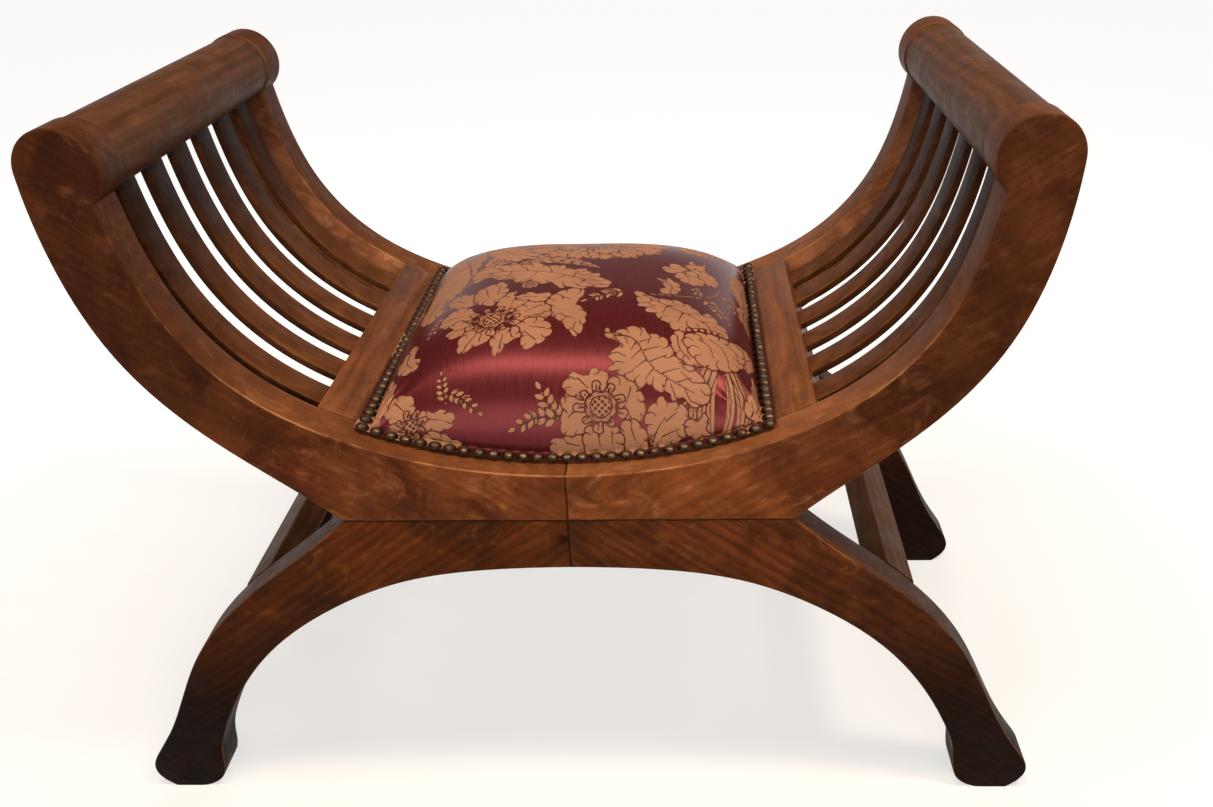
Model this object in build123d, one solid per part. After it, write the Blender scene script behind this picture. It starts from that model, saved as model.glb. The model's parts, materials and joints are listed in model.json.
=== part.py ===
"""Savonarola bench chair: two U-shaped frames joined by hand rails, slats, seat rails and
stretchers, with a padded seat.  It does not fold: the two halves of each frame are butted and
dowelled together on the centre line.

Millimetres.  +Z is up, +X to the right as seen from the front, +Y towards the back.  The origin
is on the floor under the middle of the chair.  Left and right are as seen from the front.
"""
from build123d import *
from math import cos, radians, sin
import os

# ---- frames -----------------------------------------------------------------------------
DEPTH = 408.0               # outside of the front frame to outside of the rear frame
FRAME_T = 37.0              # thickness of the curved arm boards and of the legs
EDGE_R = 2.0                # rounding along the outlines of boards and legs

SEAT_DIP_Z = 353.0          # lowest point of the concave seat curve
PARTING_Z = 310.0           # straight line where the arms stand on the legs
PARTING_HALF = 190.0        # half the length of that line
HEAD_X = 348.5              # centre of the round head of an arm, from the centre line
HEAD_Z = 609.0              # height of that centre
HEAD_R = 31.5               # radius of the head
NOTCH_ANGLE = 229.0         # where the seat curve runs into the head, in degrees round it

ARCH_Z = 261.0              # crown of the arch between the legs
FOOT_X = 389.0              # middle of a foot's flat sole, from the centre line
SOLE_L = 34.0               # length of that sole
TOE_OUT = 31.0              # furthest reach of the foot, from the middle of its sole
TOE_Z = 28.5
HEEL_IN = 35.0              # its inner swell
HEEL_Z = 15.0
ANKLE_OUT = 20.0            # back of the leg where the foot begins
ANKLE_OUT_Z = 47.5
ANKLE_IN = 40.0             # inner side of the leg where the foot begins
ANKLE_IN_Z = 47.0

# the four sawn curves, each point as shares of the way from the curve's first to last point
SEAT_SHAPE = [(0.183, 0.015), (0.366, 0.062), (0.534, 0.142), (0.686, 0.250),
              (0.824, 0.413), (0.915, 0.599), (0.970, 0.805)]
ARM_BACK_SHAPE = [(0.053, 0.264), (0.184, 0.488), (0.421, 0.687), (0.737, 0.861)]
LEG_BACK_SHAPE = [(0.188, 0.136), (0.472, 0.324), (0.718, 0.559), (0.835, 0.747), (0.921, 0.895)]
ARCH_SHAPE = [(0.229, 0.016), (0.430, 0.075), (0.616, 0.210), (0.808, 0.451),
              (0.921, 0.700), (0.974, 0.871)]

# ---- rails, slats and stretchers --------------------------------------------------------
HAND_RAIL_R = 30.0          # the hand rail, a little slimmer than the heads it joins
SEAT_RAIL_OUT_X = 206.0     # outer edge of a seat rail, on the seat curve
SEAT_RAIL_IN_X = 152.0      # its inner edge, under the padding
SEAT_RAIL_T = 32.0          # its depth below the seat curve

SLAT_COUNT = 6              # slats in each arm
SLAT_W = 31.5
SLAT_T = 6.5
SLAT_RECESS = 9.0           # how far the slats lie below the seat curve
SLAT_TENON = 9.0            # how far a slat enters the seat rail
SLAT_TIP = 5.0              # how far it runs into the hand rail, beyond the end of the seat curve

STRETCHER_TOP_X = 276.0     # upper edge of a stretcher, on the back of the leg
STRETCHER_W = 36.0
STRETCHER_T = 25.0
STRETCHER_PROUD = 0.5       # how far it stands above the back of the leg

# ---- dowels -----------------------------------------------------------------------------
DOWEL_D = 10.0
CENTRE_DOWEL_L = 56.0
CENTRE_DOWEL_PITCH = 17.0   # between the two dowels side by side in a board's thickness
UPRIGHT_DOWEL_L = 48.0
UPRIGHT_DOWEL_X = (48.0, 104.0, 158.0)   # between arm and leg, from the centre line
RAIL_DOWEL_D = 8.0
RAIL_DOWEL_L = 44.0
RAIL_DOWEL_PITCH = 25.0     # between the two dowels in the end of a rail
STRETCHER_DOWEL_PITCH = 17.0
FIT = 0.1                   # clearance all round a dowel, tenon or nail

# ---- upholstery -------------------------------------------------------------------------
NAIL_ROW_IN = 24.0          # nail row to the outer face of the front and rear frames
NAIL_ROW_X = 169.0          # nail row along each seat rail, from the centre line
HEM_OUT = 6.0               # cover beyond the nail row
HEM_W = 3.0                 # its turned-under edge
WEB_X = (-120.0, -60.0, 0.0, 60.0, 120.0)
WEB_W = 50.0
WEB_T = 1.2
HESSIAN_T = 0.6
LAYER_GAP = 0.1             # between one layer of cloth and the next
TACK_HEAD_D = 6.0
TACK_HEAD_T = 0.7
TACK_SHANK_D = 1.6
TACK_SHANK_L = 11.0
TACK_PITCH = 17.0           # three tacks across the end of a strap
TACK_ROW_IN = 5.5           # tack row to the nail row
WEB_END_IN = 2.5            # end of webbing and hessian to the nail row
HESSIAN_EDGE_IN = 5.0       # side edge of the hessian to the nail row
PAD_MARGIN = 9.2            # nail row to the edge of the padding
PAD_CROWN = 94.5            # height of the padding over the dip of the seat
PAD_RIM = 3.0               # its thickness at the edge
PAD_SWELL_X = (2.35, 0.55)  # across the seat: power that keeps the crown broad, power that rounds
PAD_SWELL_Y = (4.0, 0.57)   # it over towards the edge; and the same from front to back
COVER_T = 1.2
COVER_GAP = 0.3             # padding to cover
NAIL_HEAD_D = 11.6
NAIL_HEAD_H = 3.6
NAIL_PITCH = 12.4
NAIL_SHANK_D = 1.8
NAIL_SHANK_L = 13.0

FRONT_Y = -DEPTH / 2
INSIDE = DEPTH / 2 - FRAME_T            # half the clear width between the frames
FRAME_MID_Y = DEPTH / 2 - FRAME_T / 2   # middle of a frame's thickness
NAIL_ROW_Y = DEPTH / 2 - NAIL_ROW_IN
TACK_ROW_Y = NAIL_ROW_Y - TACK_ROW_IN
WEB_HALF_Y = NAIL_ROW_Y - WEB_END_IN
HESSIAN_HALF = NAIL_ROW_X - HESSIAN_EDGE_IN

WEB_RISE = LAYER_GAP                    # heights of the layers over the seat curve
HESSIAN_RISE = WEB_RISE + WEB_T + LAYER_GAP
HESSIAN_TOP = HESSIAN_RISE + HESSIAN_T
TACK_RISE = HESSIAN_TOP + LAYER_GAP
COVER_RISE = TACK_RISE + TACK_HEAD_T + LAYER_GAP
COVER_TOP = COVER_RISE + COVER_T
NAIL_RISE = COVER_TOP + LAYER_GAP
PAD_RISE = COVER_RISE + LAYER_GAP
SIDES = {"left": -1, "right": 1}
WIDE = 25                               # stops along a layer that spans the whole seat


# ---- ways of making the pieces ----------------------------------------------------------
def between(start, end, shape):
    """The points of a sawn curve that runs from start to end."""
    (x0, z0), (x1, z1) = start, end
    return [start] + [(x0 + (x1 - x0) * a, z0 + (z1 - z0) * b) for a, b in shape] + [end]


def slab(outline, y_front, y_back):
    """A board cut to an outline that is drawn in X and Z."""
    across = Plane(origin=(0, y_back, 0), x_dir=(1, 0, 0), z_dir=(0, -1, 0))
    return extrude(across * make_face(outline), amount=y_back - y_front)


def pin(centre, direction, diameter, length):
    """A round pin whose middle is at centre."""
    direction = Vector(*direction).normalized()
    start = Vector(*centre) - direction * (length / 2)
    return extrude(Plane(origin=start, z_dir=direction) * Circle(diameter / 2), amount=length)


def other_hand(piece):
    """The left-hand copy of a right-hand piece."""
    return mirror(piece, about=Plane.YZ)


def on_side(piece, side):
    """A right-hand piece as it is, or its left-hand copy."""
    return piece if side > 0 else other_hand(piece)


def save(name, *solids):
    """Write one node, of one solid or of several separate ones."""
    shape = solids[0] if len(solids) == 1 else Compound(children=list(solids))
    export_step(shape, f"parts/{name}.step")


def near(pins, piece):
    """Those of the pins that reach a piece."""
    box = piece.bounding_box()
    found = []
    for one in pins:
        span = one.bounding_box()
        apart = (span.min.X > box.max.X or span.max.X < box.min.X or span.min.Y > box.max.Y
                 or span.max.Y < box.min.Y or span.min.Z > box.max.Z or span.max.Z < box.min.Z)
        if not apart:
            found.append(one)
    return found


# ---- the seat curve ---------------------------------------------------------------------
NOTCH = (HEAD_X + HEAD_R * cos(radians(NOTCH_ANGLE)), HEAD_Z + HEAD_R * sin(radians(NOTCH_ANGLE)))
SEAT_CURVE = Spline(*between((0, SEAT_DIP_Z), NOTCH, SEAT_SHAPE))


def share_at(x):
    """Share of the seat curve's length at a distance x from the centre line."""
    low, high = 0.0, 1.0
    for _ in range(30):
        middle = (low + high) / 2
        if SEAT_CURVE.position_at(middle).X < x:
            low = middle
        else:
            high = middle
    return (low + high) / 2


def seat_normal(share):
    """Unit normal of the seat curve, towards the sitter."""
    along = SEAT_CURVE.tangent_at(share)
    return Vector(-along.Y, along.X)


def off_seat(share, rise):
    """Point over the seat curve at a share of its length, as x and z."""
    point = SEAT_CURVE.position_at(share) + seat_normal(share) * rise
    return point.X, point.Y


def seat_point(x, rise):
    """Point over the seat curve for x on either side of the centre line."""
    px, pz = off_seat(share_at(abs(x)), rise)
    return (px if x >= 0 else -px), pz


def over_seat(x, rise):
    """Height of a layer right above the seat curve at x, from its rise square to the curve."""
    share = share_at(abs(x))
    return SEAT_CURVE.position_at(share).Y + rise / seat_normal(share).Y


def layer(x_from, x_to, low, high, stops=9):
    """Outline of a layer that follows the seat curve, between two heights over it."""
    xs = [x_from + (x_to - x_from) * i / (stops - 1) for i in range(stops)]
    under = [seat_point(x, low) for x in xs]
    over = [seat_point(x, high) for x in xs]
    return [Spline(*under), Line(under[-1], over[-1]), Spline(*over[::-1]), Line(over[0], under[0])]


# ---- dowels -----------------------------------------------------------------------------
def centre_dowels(spare=0.0):
    """Pairs of dowels across the centre line, in the arms and in the legs of both frames."""
    pins = []
    for z in ((PARTING_Z + SEAT_DIP_Z) / 2, (PARTING_Z + ARCH_Z) / 2):
        for frame_y in (-FRAME_MID_Y, FRAME_MID_Y):
            for y in (frame_y - CENTRE_DOWEL_PITCH / 2, frame_y + CENTRE_DOWEL_PITCH / 2):
                pins.append(pin((0, y, z), (1, 0, 0), DOWEL_D + 2 * spare, CENTRE_DOWEL_L + 2 * spare))
    return pins


def upright_dowels(spare=0.0):
    """Dowels that stand between the arms and the legs."""
    pins = []
    for y in (-FRAME_MID_Y, FRAME_MID_Y):
        for x in UPRIGHT_DOWEL_X:
            for side in SIDES.values():
                at = (side * x, y, PARTING_Z)
                pins.append(pin(at, (0, 0, 1), DOWEL_D + 2 * spare, UPRIGHT_DOWEL_L + 2 * spare))
    return pins


def end_dowels(middle, along, pitch, spare=0.0):
    """Two dowels in each end of both rails of a pair; middle and along are in X and Z."""
    pins = []
    for side in SIDES.values():
        for way in (-0.5, 0.5):
            x = middle[0] + along[0] * way * pitch
            z = middle[1] + along[1] * way * pitch
            for y in (-INSIDE, INSIDE):
                at = (side * x, y, z)
                pins.append(pin(at, (0, 1, 0), RAIL_DOWEL_D + 2 * spare, RAIL_DOWEL_L + 2 * spare))
    return pins


def seat_rail_dowels(spare=0.0):
    share = share_at((SEAT_RAIL_IN_X + SEAT_RAIL_OUT_X) / 2)
    along = SEAT_CURVE.tangent_at(share)
    middle = off_seat(share, -SEAT_RAIL_T / 2)
    return end_dowels(middle, (along.X, along.Y), RAIL_DOWEL_PITCH, spare)


def hand_rail_dowels(spare=0.0):
    return end_dowels((HEAD_X, HEAD_Z), (0, 1), RAIL_DOWEL_PITCH, spare)


# ---- the arms ---------------------------------------------------------------------------
def rounded(board, *runs):
    """Round the long edges of a board along one run of its outline after another."""
    for run in runs:
        lengths = [curve.length for curve in run]
        edges = [edge for edge in board.edges()
                 if abs(edge.position_at(0).Y - edge.position_at(1).Y) < 0.01
                 and min(abs(edge.length - length) for length in lengths) < 0.3]
        board = fillet(edges, EDGE_R)
    return board


def arm_board(y_front, y_back):
    """Half of a frame's upper part: half the seat edge, the arm and its round head."""
    head_out = (HEAD_X + HEAD_R, HEAD_Z)
    over = radians(NOTCH_ANGLE / 2)
    head_top = (HEAD_X + HEAD_R * cos(over), HEAD_Z + HEAD_R * sin(over))
    corner = (PARTING_HALF, PARTING_Z)
    head = ThreePointArc(NOTCH, head_top, head_out)
    arm_back = Spline(*between(head_out, corner, ARM_BACK_SHAPE))
    centre = Line((0, PARTING_Z), (0, SEAT_DIP_Z))
    board = slab([centre, SEAT_CURVE, head, arm_back, Line(corner, (0, PARTING_Z))], y_front, y_back)
    return rounded(board, [SEAT_CURVE, head, arm_back])


# ---- the legs ---------------------------------------------------------------------------
SOLE = Line((FOOT_X + SOLE_L / 2, 0), (FOOT_X - SOLE_L / 2, 0))
LEG_BACK = Spline(*between((PARTING_HALF, PARTING_Z), (FOOT_X + ANKLE_OUT, ANKLE_OUT_Z), LEG_BACK_SHAPE),
                  (FOOT_X + TOE_OUT, TOE_Z), SOLE @ 0)
ARCH = Spline(SOLE @ 1, (FOOT_X - HEEL_IN, HEEL_Z),
              *between((0, ARCH_Z), (FOOT_X - ANKLE_IN, ANKLE_IN_Z), ARCH_SHAPE)[::-1])


def leg_board(y_front, y_back):
    """Half of a frame's stand: half the arch, the leg and its foot."""
    centre = Line((0, ARCH_Z), (0, PARTING_Z))
    parting = Line((0, PARTING_Z), (PARTING_HALF, PARTING_Z))
    board = slab([centre, parting, LEG_BACK, SOLE, ARCH], y_front, y_back)
    return rounded(board, [LEG_BACK], [ARCH])


# ---- stretchers -------------------------------------------------------------------------
def stretcher_place():
    """Middle of a stretcher's section and the way down it, in X and Z."""
    low, high = 0.0, 0.5
    for _ in range(30):
        share = (low + high) / 2
        if LEG_BACK.position_at(share).X < STRETCHER_TOP_X:
            low = share
        else:
            high = share
    middle = share + STRETCHER_W / 2 / LEG_BACK.length
    down = LEG_BACK.tangent_at(middle)
    out = Vector(-down.Y, down.X)
    centre = LEG_BACK.position_at(middle) + out * (STRETCHER_PROUD - STRETCHER_T / 2)
    return centre, down


def stretcher():
    centre, down = stretcher_place()
    section = Plane(origin=(centre.X, INSIDE, centre.Y), x_dir=(down.X, 0, down.Y), z_dir=(0, -1, 0))
    board = extrude(section * Rectangle(STRETCHER_W, STRETCHER_T), amount=2 * INSIDE)
    return fillet(board.edges().filter_by(Axis.Y), EDGE_R)


def stretcher_dowels(spare=0.0):
    centre, down = stretcher_place()
    return end_dowels((centre.X, centre.Y), (down.X, down.Y), STRETCHER_DOWEL_PITCH, spare)


# ---- slats ------------------------------------------------------------------------------
def slat(number, spare=0.0):
    """A bent slat, from its tenon in the seat rail to its end in the hand rail."""
    gap = (2 * INSIDE - SLAT_COUNT * SLAT_W) / (SLAT_COUNT + 1)
    y_front = -INSIDE + gap + number * (SLAT_W + gap)
    first = share_at(SEAT_RAIL_OUT_X) - (SLAT_TENON + spare) / SEAT_CURVE.length
    shares = [first + (1 - first) * i / 7 for i in range(8)]
    tip = SEAT_CURVE.tangent_at(1) * (SLAT_TIP + spare)
    faces = []
    for rise in (-SLAT_RECESS + spare, -SLAT_RECESS - SLAT_T - spare):
        points = [off_seat(share, rise) for share in shares]
        faces.append(points + [(points[-1][0] + tip.X, points[-1][1] + tip.Y)])
    face, back = faces
    outline = [Spline(*face), Line(face[-1], back[-1]), Spline(*back[::-1]), Line(back[0], face[0])]
    return slab(outline, y_front - spare, y_front + SLAT_W + spare)


# ---- nails and tacks --------------------------------------------------------------------
def standing(x, y, rise):
    """Plane on the seat curve at x and y, facing away from the wood."""
    px, pz = seat_point(x, rise)
    normal = seat_normal(share_at(abs(x)))
    lean = normal.X if x >= 0 else -normal.X
    return Plane(origin=(px, y, pz), z_dir=(lean, 0, normal.Y))


def nail_places():
    """The row of nails round the seat: along the frames' curve, then along the seat rails."""
    reach = share_at(NAIL_ROW_X)
    per_row = round(2 * reach * SEAT_CURVE.length / NAIL_PITCH)
    places = []
    for i in range(per_row + 1):
        way = reach * (2 * i / per_row - 1)
        x = SEAT_CURVE.position_at(abs(way)).X * (1 if way >= 0 else -1)
        places += [(x, -NAIL_ROW_Y), (x, NAIL_ROW_Y)]
    per_side = round(2 * NAIL_ROW_Y / NAIL_PITCH)
    for i in range(1, per_side):
        y = NAIL_ROW_Y * (2 * i / per_side - 1)
        places += [(-NAIL_ROW_X, y), (NAIL_ROW_X, y)]
    return places


def nails():
    """Domed upholstery nails, each with its head on the cover and its shank in the wood."""
    ball_r = (NAIL_HEAD_H ** 2 + (NAIL_HEAD_D / 2) ** 2) / (2 * NAIL_HEAD_H)
    above = pin((0, 0, NAIL_HEAD_H / 2), (0, 0, 1), NAIL_HEAD_D, NAIL_HEAD_H)
    head = above & Pos(0, 0, NAIL_HEAD_H - ball_r) * Sphere(ball_r)
    shank = pin((0, 0, -NAIL_SHANK_L / 2), (0, 0, 1), NAIL_SHANK_D, NAIL_SHANK_L)
    one = head + shank
    return [standing(x, y, NAIL_RISE) * one for x, y in nail_places()]


def nail_holes():
    length = NAIL_SHANK_L + FIT
    one = pin((0, 0, -length / 2), (0, 0, 1), NAIL_SHANK_D + 2 * FIT, length)
    return [standing(x, y, NAIL_RISE) * one for x, y in nail_places()]


def tack_places():
    """Three tacks across each end of each webbing strap."""
    ends = (-TACK_ROW_Y, TACK_ROW_Y)
    steps = (-TACK_PITCH, 0, TACK_PITCH)
    return [(x + step, y) for x in WEB_X for step in steps for y in ends]


def tacks():
    head = pin((0, 0, TACK_HEAD_T / 2), (0, 0, 1), TACK_HEAD_D, TACK_HEAD_T)
    shank = pin((0, 0, -TACK_SHANK_L / 2), (0, 0, 1), TACK_SHANK_D, TACK_SHANK_L)
    one = head + shank
    return [standing(x, y, TACK_RISE) * one for x, y in tack_places()]


def tack_holes():
    length = TACK_SHANK_L + FIT
    one = pin((0, 0, -length / 2), (0, 0, 1), TACK_SHANK_D + 2 * FIT, length)
    return [standing(x, y, TACK_RISE) * one for x, y in tack_places()]


# ---- padding and cover ------------------------------------------------------------------
def swell(share, powers):
    """Height of the padding at a share of the way from its middle to its edge."""
    broad, shoulder = powers
    return (1 - abs(share) ** broad) ** shoulder


def dome(grow, low):
    """The padding's crowned block over the seat curve, made larger by grow."""
    half_x = NAIL_ROW_X - PAD_MARGIN + grow
    half_y = NAIL_ROW_Y - PAD_MARGIN + grow
    shares = [-1, -0.97, -0.9, -0.78, -0.6, -0.35, 0, 0.35, 0.6, 0.78, 0.9, 0.97, 1]
    sections = []
    for share_y in shares:
        top = []
        for share_x in shares:
            full = swell(share_x, PAD_SWELL_X) * swell(share_y, PAD_SWELL_Y)
            height = PAD_RIM + (PAD_CROWN - PAD_RIM) * full
            top.append((share_x * half_x, over_seat(share_x * half_x, PAD_RISE) + height + grow))
        base_x = [half_x * (2 * i / (WIDE - 1) - 1) for i in range(WIDE)]
        base = [(x, over_seat(x, low)) for x in base_x]
        outline = [Spline(*base), Line(base[-1], top[-1]), Spline(*top[::-1]), Line(top[0], base[0])]
        across = Plane(origin=(0, share_y * half_y, 0), x_dir=(1, 0, 0), z_dir=(0, -1, 0))
        sections.append(across * make_face(outline))
    return loft(sections)


def cover():
    """The cloth cover: a thin shell over the padding with a flat hem under the nails."""
    half_x = NAIL_ROW_X + HEM_OUT
    half_y = NAIL_ROW_Y + HEM_OUT
    inner_x = half_x - HEM_W
    inner_y = half_y - HEM_W
    flat = slab(layer(-half_x, half_x, LAYER_GAP, COVER_TOP, WIDE), -half_y, half_y)
    flat -= slab(layer(-inner_x, inner_x, -COVER_T, COVER_RISE, WIDE), -inner_y, inner_y)
    shell = flat + dome(COVER_GAP + COVER_T, COVER_RISE + COVER_T / 2)
    return shell - dome(COVER_GAP, COVER_RISE - COVER_T) - nail_holes()


# ---- build ------------------------------------------------------------------------------
os.makedirs("parts", exist_ok=True)

holes = nail_holes() + tack_holes()
frame_holes = centre_dowels(FIT) + upright_dowels(FIT) + seat_rail_dowels(FIT) + hand_rail_dowels(FIT)
frame_holes += stretcher_dowels(FIT) + holes

for frame, y_front in (("front", FRONT_Y), ("rear", INSIDE)):
    arm = arm_board(y_front, y_front + FRAME_T)
    leg = leg_board(y_front, y_front + FRAME_T)
    for name, side in SIDES.items():
        this_arm = on_side(arm, side)
        this_leg = on_side(leg, side)
        save(f"{frame}_arm_{name}", this_arm - near(frame_holes, this_arm))
        save(f"{frame}_leg_{name}", this_leg - near(frame_holes, this_leg))

mortises = [slat(number, FIT) for number in range(SLAT_COUNT)]
hand_rail = pin((HEAD_X, 0, HEAD_Z), (0, 1, 0), 2 * HAND_RAIL_R, 2 * INSIDE)
hand_rail -= mortises + near(hand_rail_dowels(FIT), hand_rail)
seat_rail = slab(layer(SEAT_RAIL_IN_X, SEAT_RAIL_OUT_X, -SEAT_RAIL_T, 0), -INSIDE, INSIDE)
seat_rail -= mortises + near(seat_rail_dowels(FIT) + holes, seat_rail)
long_stretcher = stretcher()
long_stretcher -= near(stretcher_dowels(FIT), long_stretcher)

for name, side in SIDES.items():
    save(f"hand_rail_{name}", on_side(hand_rail, side))
    save(f"seat_rail_{name}", on_side(seat_rail, side))
    save(f"leg_stretcher_{name}", on_side(long_stretcher, side))
    for number in range(SLAT_COUNT):
        save(f"arm_slat_{name}_{number + 1}", on_side(slat(number), side))

save("centre_dowels", *centre_dowels())
save("arm_to_leg_dowels", *upright_dowels())
save("seat_rail_dowels", *seat_rail_dowels())
save("hand_rail_dowels", *hand_rail_dowels())
save("stretcher_dowels", *stretcher_dowels())

straps = []
for x in WEB_X:
    strap = slab(layer(x - WEB_W / 2, x + WEB_W / 2, WEB_RISE, WEB_RISE + WEB_T), -WEB_HALF_Y, WEB_HALF_Y)
    straps.append(strap - near(tack_holes(), strap))
save("seat_webbing", *straps)
hessian = slab(layer(-HESSIAN_HALF, HESSIAN_HALF, HESSIAN_RISE, HESSIAN_TOP, WIDE), -WEB_HALF_Y, WEB_HALF_Y)
save("seat_hessian", hessian - tack_holes())
save("webbing_tacks", *tacks())
save("seat_padding", dome(0, PAD_RISE))
save("seat_cover", cover())
save("upholstery_nails", *nails())
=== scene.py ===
import bpy
import json
import math
from functools import partial
import numpy as np
from mathutils import Matrix

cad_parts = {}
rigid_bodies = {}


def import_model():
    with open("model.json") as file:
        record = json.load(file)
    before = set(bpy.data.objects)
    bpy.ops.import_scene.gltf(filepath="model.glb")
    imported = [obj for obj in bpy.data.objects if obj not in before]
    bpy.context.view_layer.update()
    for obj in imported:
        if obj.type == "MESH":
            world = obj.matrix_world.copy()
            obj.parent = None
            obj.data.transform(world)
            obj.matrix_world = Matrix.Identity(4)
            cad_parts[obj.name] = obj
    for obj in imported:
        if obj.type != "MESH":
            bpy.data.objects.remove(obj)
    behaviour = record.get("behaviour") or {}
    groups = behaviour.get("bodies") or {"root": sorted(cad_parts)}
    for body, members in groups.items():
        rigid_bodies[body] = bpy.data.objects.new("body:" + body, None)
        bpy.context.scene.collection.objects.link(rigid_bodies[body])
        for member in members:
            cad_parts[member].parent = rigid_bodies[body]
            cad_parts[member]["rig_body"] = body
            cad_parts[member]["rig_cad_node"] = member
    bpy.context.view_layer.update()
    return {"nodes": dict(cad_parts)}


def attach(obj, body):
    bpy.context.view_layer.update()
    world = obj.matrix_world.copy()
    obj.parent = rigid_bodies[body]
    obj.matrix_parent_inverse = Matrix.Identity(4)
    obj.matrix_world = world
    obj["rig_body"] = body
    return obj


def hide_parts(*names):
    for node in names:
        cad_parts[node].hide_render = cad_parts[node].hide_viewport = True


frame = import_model()
nodes = frame["nodes"]

# ---- Legs ------------------------------------------------------------
# Four boards sawn to shape from walnut and butted in pairs on the centre line, so that the
# grain falls away from the joint to both sides.  Stained and waxed, with painted shade that
# darkens them towards the floor.
LEG_PAIRS = (("front", -1), ("rear", 1))
SIDES = (("left", -1), ("right", 1))
PARTING_Z = 0.310         # where the arms stand on the legs
LEG_GRAIN = 36.0          # degrees that the grain falls from the level
KNOT = (-0.0045, 0.0, 0.2915)      # a pin knot beside the centre joint of one leg
KNOT_REACH = 0.009        # how far it darkens the wood, before the grain makes it ragged
JOINT_DIRT = 0.0006       # half the width of the dark line along a glued joint
MERGE = 0.00002           # vertices nearer than this are one
WAX_GLOSS = 0.05          # the wax shines little at a flat angle


def colour(code):
    """Linear colour of an sRGB hex value."""
    parts = [int(code[i:i + 2], 16) / 255 for i in (1, 3, 5)]
    return [p / 12.92 if p <= 0.04045 else ((p + 0.055) / 1.055) ** 2.4 for p in parts] + [1.0]


def add(kind, inputs=None, **settings):
    """A node in the tree at hand, with its settings, and its inputs set or linked.  A node given as
    an input stands for its first output, and a hex value for its colour."""
    node = tree.nodes.new("ShaderNode" + kind)
    for name, value in settings.items():
        setattr(node, name, value)
    for key, value in (inputs or {}).items():
        if isinstance(value, bpy.types.Node):
            value = value.outputs[0]
        if isinstance(value, bpy.types.NodeSocket):
            tree.links.new(value, node.inputs[key])
        else:
            node.inputs[key].default_value = colour(value) if isinstance(value, str) else value
    return node


def reckon(operation, *values):
    """One step of arithmetic."""
    return add("Math", dict(enumerate(values)), operation=operation)


def times(first, *others):
    """The product of two or more values."""
    for other in others:
        first = reckon("MULTIPLY", first, other)
    return first


def blend(share, low, high):
    """The colour that lies between two others."""
    return add("Mix", {0: share, 6: low, 7: high}, data_type="RGBA").outputs[2]


def ramp(value, low, high, start=0.0, end=1.0, **settings):
    """A value that goes from start to end as another one goes from low to high."""
    return add("MapRange", {0: value, 1: low, 2: high, 3: start, 4: end}, **settings)


def ease(value, low, high, start=0.0, end=1.0):
    """The same with a soft start and end."""
    return ramp(value, low, high, start, end, interpolation_type="SMOOTHSTEP")


def noise(place, scale, detail, roughness=0.5, distortion=0.0):
    """Cloudy noise, scale to the metre."""
    return add("TexNoise", {"Vector": place, "Scale": scale, "Detail": detail, "Roughness": roughness,
                            "Distortion": distortion})


def stretched(place, x, y=1.0, z=1.0):
    """A place with its axes drawn out or crowded together."""
    return add("Mapping", {"Vector": place, "Scale": (x, y, z)})


def new_tree(owner):
    """Make an empty tree in a material or a world, and the one that nodes go into from now on."""
    global tree
    owner.use_nodes = True
    tree = owner.node_tree
    tree.nodes.clear()


def new_material(name):
    """An empty material, and a place in it in the object's own coordinates."""
    material = bpy.data.materials.new(name)
    new_tree(material)
    return material, add("TexCoord").outputs["Object"]


def surface(inputs):
    """The shader and the output that end a material."""
    add("OutputMaterial", {0: add("BsdfPrincipled", inputs)})


def dress(node, material):
    """Put one material on a piece as it comes from the CAD."""
    nodes[node].data.materials.clear()
    nodes[node].data.materials.append(material)


def put(name, data):
    """A new object in the scene."""
    item = bpy.data.objects.new(name, data)
    bpy.context.scene.collection.objects.link(item)
    return item


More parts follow.
